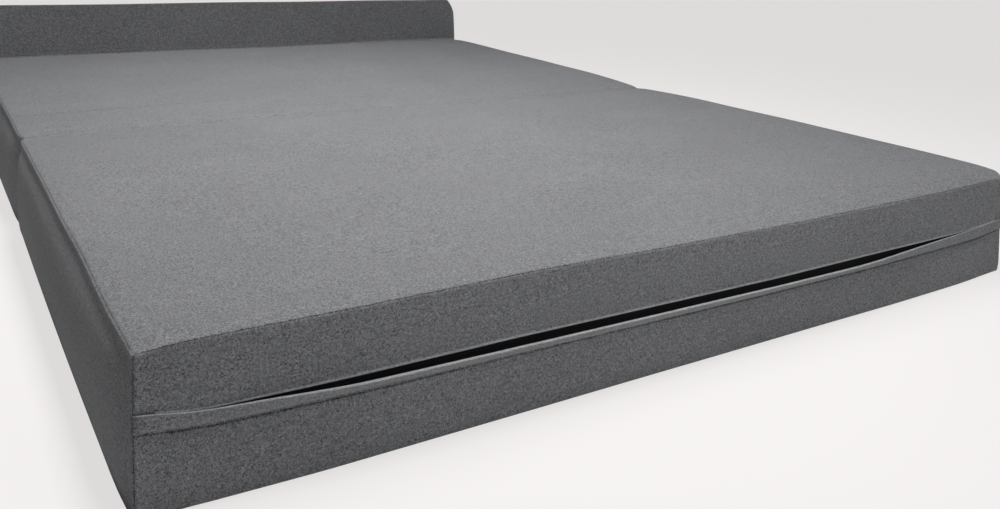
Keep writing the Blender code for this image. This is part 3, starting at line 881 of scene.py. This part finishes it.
def weave_tape(cushion, side):
    """One tape, which runs from its coil to the cover's inside, where it is sewn behind the lip."""
    node = f"{cushion.prefix}_zip_tape_{side}"
    low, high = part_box(node)
    upper = side == "upper"
    columns = np.linspace(low.x, high.x, round((high.x - low.x) / TAPE_STEP) + 1)
    tape, steps = block(node.replace("zip_tape", "woven_tape"), columns, [0, 1], TAPE_SHARES)
    x, share = columns[steps[:, 0]], TAPE_SHARES[steps[:, 2]]
    coil_edge = low.z - TAPE_IN_COIL if upper else high.z + TAPE_IN_COIL
    sewn_edge = cushion.lip(x) + TAPE_OVERLAP if upper else cushion.root(x) - TAPE_OVERLAP
    z = coil_edge + (sewn_edge - coil_edge) * share
    behind = cushion.on_face(x, z)[:, 1] - cushion.zip_side * TAPE_BEHIND
    middle = (low.y + high.y) / 2
    wave = TAPE_WAVE * np.sin(x * TAPE_WAVES + share * 3) * share
    y = middle + (behind - middle) * ramp(share, 0.3, 1.0) + wave
    y += np.where(steps[:, 1] == 0, -1, 1) * (high.y - low.y) / 2
    put_points(tape, np.stack([x, y, z], axis=1))
    face_outwards()
    bpy.ops.object.shade_smooth_by_angle(angle=math.radians(50))
    tape.data.materials.append(tape_cloth.material)
    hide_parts(node)
    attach(tape, cushion.body)


for cushion in (foot, seat, back):
    for side in ("upper", "lower"):
        weave_tape(cushion, side)


# The zip coils
# One nylon wire wound along each tape. The turns of the two coils lie between each other.
COIL_COLOUR = (0.022, 0.022, 0.024)
TURN_PITCH = 1.5 * MM
WIRE_RADIUS = 0.33 * MM
WIRE_SIDES = 4
TURN_STEPS = 9
COIL_REACH = 0.5 * MM

nylon = Finish("black_nylon_coil", 0.38)
nylon.paint(nylon.shade(COIL_COLOUR, 0.8 + 0.5 * nylon.grain(2.5 * MM)))
nylon.relief(nylon.grain(0.3 * MM), 0.03 * MM)


def wind_coil(node, body, inward, shift):
    """One coil, whose turns reach a little past the middle towards the other coil."""
    low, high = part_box(node)
    turns = int((high.x - low.x - TURN_PITCH) / TURN_PITCH)
    height = high.z - low.z + COIL_REACH
    depth = high.y - low.y
    bpy.ops.object.select_all(action="DESELECT")
    reach = height / 2 - WIRE_RADIUS
    bpy.ops.mesh.primitive_circle_add(
        vertices=WIRE_SIDES, radius=WIRE_RADIUS, location=(0, 0, reach), rotation=(math.pi / 2, 0, 0)
    )
    bpy.ops.object.transform_apply(location=True, rotation=True, scale=True)
    coil = bpy.context.object
    coil.name = node.replace("zip_coil", "wound_coil")
    bpy.ops.object.modifier_add(type="SCREW")
    screw = coil.modifiers["Screw"]
    screw.axis = "X"
    screw.angle = 2 * math.pi
    screw.screw_offset = TURN_PITCH
    screw.iterations = turns
    screw.steps = TURN_STEPS
    screw.render_steps = TURN_STEPS
    bpy.ops.object.modifier_apply(modifier=screw.name)
    points = points_of(coil)
    points[:, 1] *= (depth / 2 - WIRE_RADIUS) / reach
    points -= points.min(axis=0)
    points[:, 0] += low.x + WIRE_RADIUS / 2 + shift * TURN_PITCH
    points[:, 1] += low.y + (depth - points[:, 1].max()) / 2
    points[:, 2] += low.z if inward > 0 else high.z - points[:, 2].max()
    put_points(coil, points)
    for end in (points[:, 0].min(), points[:, 0].max()):
        close_end(coil, points, end)
    face_outwards()
    bpy.ops.object.shade_smooth()
    coil.data.materials.append(nylon.material)
    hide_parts(node)
    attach(coil, body)


def close_end(coil, points, end):
    """Closes the cut end of the wire."""
    bpy.context.tool_settings.mesh_select_mode = (False, True, False)
    borders = {}
    for cell in coil.data.polygons:
        for key in cell.edge_keys:
            borders[key] = borders.get(key, 0) + 1
    close = [
        borders.get(tuple(sorted(edge.vertices)), 0) == 1
        and all(abs(points[corner, 0] - end) < 2 * WIRE_RADIUS + TURN_PITCH for corner in edge.vertices)
        for edge in coil.data.edges
    ]
    coil.data.vertices.foreach_set("select", np.zeros(len(points), bool))
    coil.data.polygons.foreach_set("select", np.zeros(len(coil.data.polygons), bool))
    coil.data.edges.foreach_set("select", close)
    bpy.ops.object.mode_set(mode="EDIT")
    bpy.ops.mesh.edge_face_add()
    bpy.ops.object.mode_set(mode="OBJECT")


for cushion in (foot, seat, back):
    wind_coil(cushion.prefix + "_zip_coil_lower", cushion.body, 1, 0)
    wind_coil(cushion.prefix + "_zip_coil_upper", cushion.body, -1, 0.5)


# The stops, the sliders and the pulls
# Small zinc castings in black lacquer, which has worn off in specks.
METAL_COLOUR = (0.030, 0.030, 0.032)
WORN_COLOUR = (0.30, 0.29, 0.27)

lacquer = Finish("black_lacquered_zinc", 0.32, 0.85)
specks = lacquer.grain(1.3 * MM, 4.0).fades(0.30, 0.42)
tint = lacquer.node(
    "ShaderNodeMix",
    {"data_type": "RGBA"},
    {0: specks, 6: (*METAL_COLOUR, 1), 7: (*WORN_COLOUR, 1)},
    output=2,
)
lacquer.paint(tint)
lacquer.relief(lacquer.grain(0.5 * MM), 0.02 * MM)
small_parts = ("stop_open", "stop_closed", "slider", "pull")
for name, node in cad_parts.items():
    if name.endswith(small_parts):
        node.data.materials.clear()
        node.data.materials.append(lacquer.material)


# The hinge strip
# A narrow strip of the cover's cloth, sewn across the valley where the two sections meet.
HINGE_COLUMNS = 80
HINGE_ROWS = 15
HINGE_THICKNESS = 0.7 * MM
STRIP_LIFT = 0.15 * MM
STRIP_DIP = 1.4 * MM
VALLEY = 5 * MM
STRIP_TUCK = 0.5 * MM
STRIP_TUCK_REACH = 4 * MM

low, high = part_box("fold_hinge_strip")
columns = np.linspace(low.x, high.x, HINGE_COLUMNS)
rows = np.linspace(low.y, high.y, HINGE_ROWS)
strip, steps = block("hinge_strip_cloth", columns, rows, [0, 1])
x, y = columns[steps[:, 0]], rows[steps[:, 1]]
fold_line = (foot.rear + seat.front) / 2
tops = []
for cushion, place in ((foot, np.minimum(y, foot.rear)), (seat, np.maximum(y, seat.front))):
    points, seam = cushion.drape(np.stack([x, place, np.full(len(x), PAD)], axis=1))
    tops.append(points[:, 2] + surface_wave(points))
points[:, 0] = x
points[:, 1] = y
points[:, 2] = np.where(y < fold_line, *tops) + STRIP_LIFT - STRIP_DIP * near(np.abs(y - fold_line), VALLEY)
from_edge = np.minimum(np.minimum(y - low.y, high.y - y), np.minimum(x - low.x, high.x - x))
points[:, 2] -= STRIP_TUCK * near(from_edge, STRIP_TUCK_REACH)
points[:, 2] -= np.where(steps[:, 2] == 0, HINGE_THICKNESS, 0)
put_points(strip, points)
bpy.ops.object.shade_smooth()
strip.data.materials.append(plain.material)
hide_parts("fold_hinge_strip")
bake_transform(strip)


# The flap of the bolster
# One sheet of the cover's cloth. Its upper hem is sewn to the seat's rear edge and its lower hem
# to the bolster's, so that the bolster can swing up onto the folded stack.
FLAP_THICKNESS = 0.8 * MM
HEM_THICKNESS = 1.4 * MM
FLAP_HEM = 12 * MM
FLAP_WAVE = 0.3 * MM
FLAP_WAVES_ACROSS = 22
FLAP_WAVES_UP = 35
FLAP_CELL = 20 * MM
FLAP_CELL_UP = 12 * MM

low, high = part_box("back_flap")
columns = marks(high.x - low.x, FLAP_CELL) + low.x
layers = marks(high.z - low.z, FLAP_CELL_UP) + low.z
flap, steps = block("flap_cloth", columns, [0, 1], layers)
x, z = columns[steps[:, 0]], layers[steps[:, 2]]
hem = np.minimum(z - low.z, high.z - z) < FLAP_HEM
half_thickness = np.where(hem, HEM_THICKNESS, FLAP_THICKNESS) / 2
ripple = FLAP_WAVE * np.sin(x * FLAP_WAVES_ACROSS) * np.sin(z * FLAP_WAVES_UP) * ~hem
middle = (low.y + high.y) / 2 + ripple
points = np.stack([x, middle + np.where(steps[:, 1] == 0, -1, 1) * half_thickness, z], axis=1)
put_points(flap, points)
bpy.ops.object.shade_smooth()
flap.data.materials.append(plain.material)
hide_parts("back_flap")
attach(flap, "flap")


# The floor, the backdrop and the lamps
# A plain pale sweep that shows the object's shadow, under one wide soft lamp overhead.
FLOOR_SIZE = 60.0
FLOOR_GAP = 0.5 * MM
PALE = (0.89, 0.868, 0.86, 1)
SHADOW_SHARE = 0.2
BOUNCE_COLOUR = (0.75, 0.75, 0.75, 1)
SKY_COLOUR = (0.93, 0.95, 1.0, 1)
SKY_STRENGTH = 0.1

bpy.ops.object.select_all(action="DESELECT")
bpy.ops.mesh.primitive_plane_add(size=FLOOR_SIZE, location=(0, 0, -FLOOR_GAP))
floor = bpy.context.object
floor.name = "studio_floor"
paper = Finish("pale_paper", 0.95)
paper.shader.inputs["Base Color"].default_value = BOUNCE_COLOUR
seen_ray = paper.node("ShaderNodeLightPath", output="Is Camera Ray")
mirrored = paper.node("ShaderNodeLightPath", output="Is Glossy Ray")
seen_ray = seen_ray.sum_of("MAXIMUM", seen_ray, mirrored)
lit = paper.node("ShaderNodeBsdfDiffuse", {}, {"Color": PALE})
glow = paper.node("ShaderNodeEmission", {}, {"Color": PALE, "Strength": 1.0})
seen = paper.node("ShaderNodeMixShader", {}, {0: SHADOW_SHARE, 1: glow, 2: lit})
bounced = Wire(paper, paper.shader.outputs["BSDF"])
whole = paper.node("ShaderNodeMixShader", {}, {0: seen_ray, 1: bounced, 2: seen})
paper.tree.links.new(whole.socket, paper.tree.nodes["Material Output"].inputs["Surface"])
floor.data.materials.append(paper.material)

world = bpy.data.worlds.new("studio")
bpy.context.scene.world = world
world.use_nodes = True
sky = world.node_tree
ray = sky.nodes.new("ShaderNodeLightPath")
pick = sky.nodes.new("ShaderNodeMixShader")
pale = sky.nodes.new("ShaderNodeBackground")
pale.inputs["Color"].default_value = PALE
ambient = sky.nodes["Background"]
ambient.inputs["Color"].default_value = SKY_COLOUR
ambient.inputs["Strength"].default_value = SKY_STRENGTH
sky.links.new(ray.outputs["Is Camera Ray"], pick.inputs[0])
sky.links.new(ambient.outputs[0], pick.inputs[1])
sky.links.new(pale.outputs[0], pick.inputs[2])
sky.links.new(pick.outputs[0], sky.nodes["World Output"].inputs["Surface"])


def add_lamp(name, place, aim, width, length, power, spread=180):
    """A soft oblong lamp aimed at a point."""
    bpy.ops.object.light_add(type="AREA", location=place)
    lamp = bpy.context.object
    lamp.name = name
    lamp.data.shape = "RECTANGLE"
    lamp.data.size = width
    lamp.data.size_y = length
    lamp.data.energy = power
    lamp.data.spread = math.radians(spread)
    lamp.rotation_euler = (Vector(aim) - Vector(place)).to_track_quat("-Z", "Y").to_euler()


OVERHEAD = (-0.08, -0.4, 2.3)
BED_MIDDLE = (-0.08, -0.4, 0)
BESIDE_CAMERA = (0.5, -3.0, 0.9)
ZIP_MOUTH = (0.1, -1.07, 0.08)
add_lamp("overhead_lamp", OVERHEAD, BED_MIDDLE, width=0.5, length=2.0, power=23.5, spread=95)
add_lamp("front_lamp", BESIDE_CAMERA, ZIP_MOUTH, width=1.0, length=1.0, power=10)

bpy.context.scene.view_settings.view_transform = "Standard"
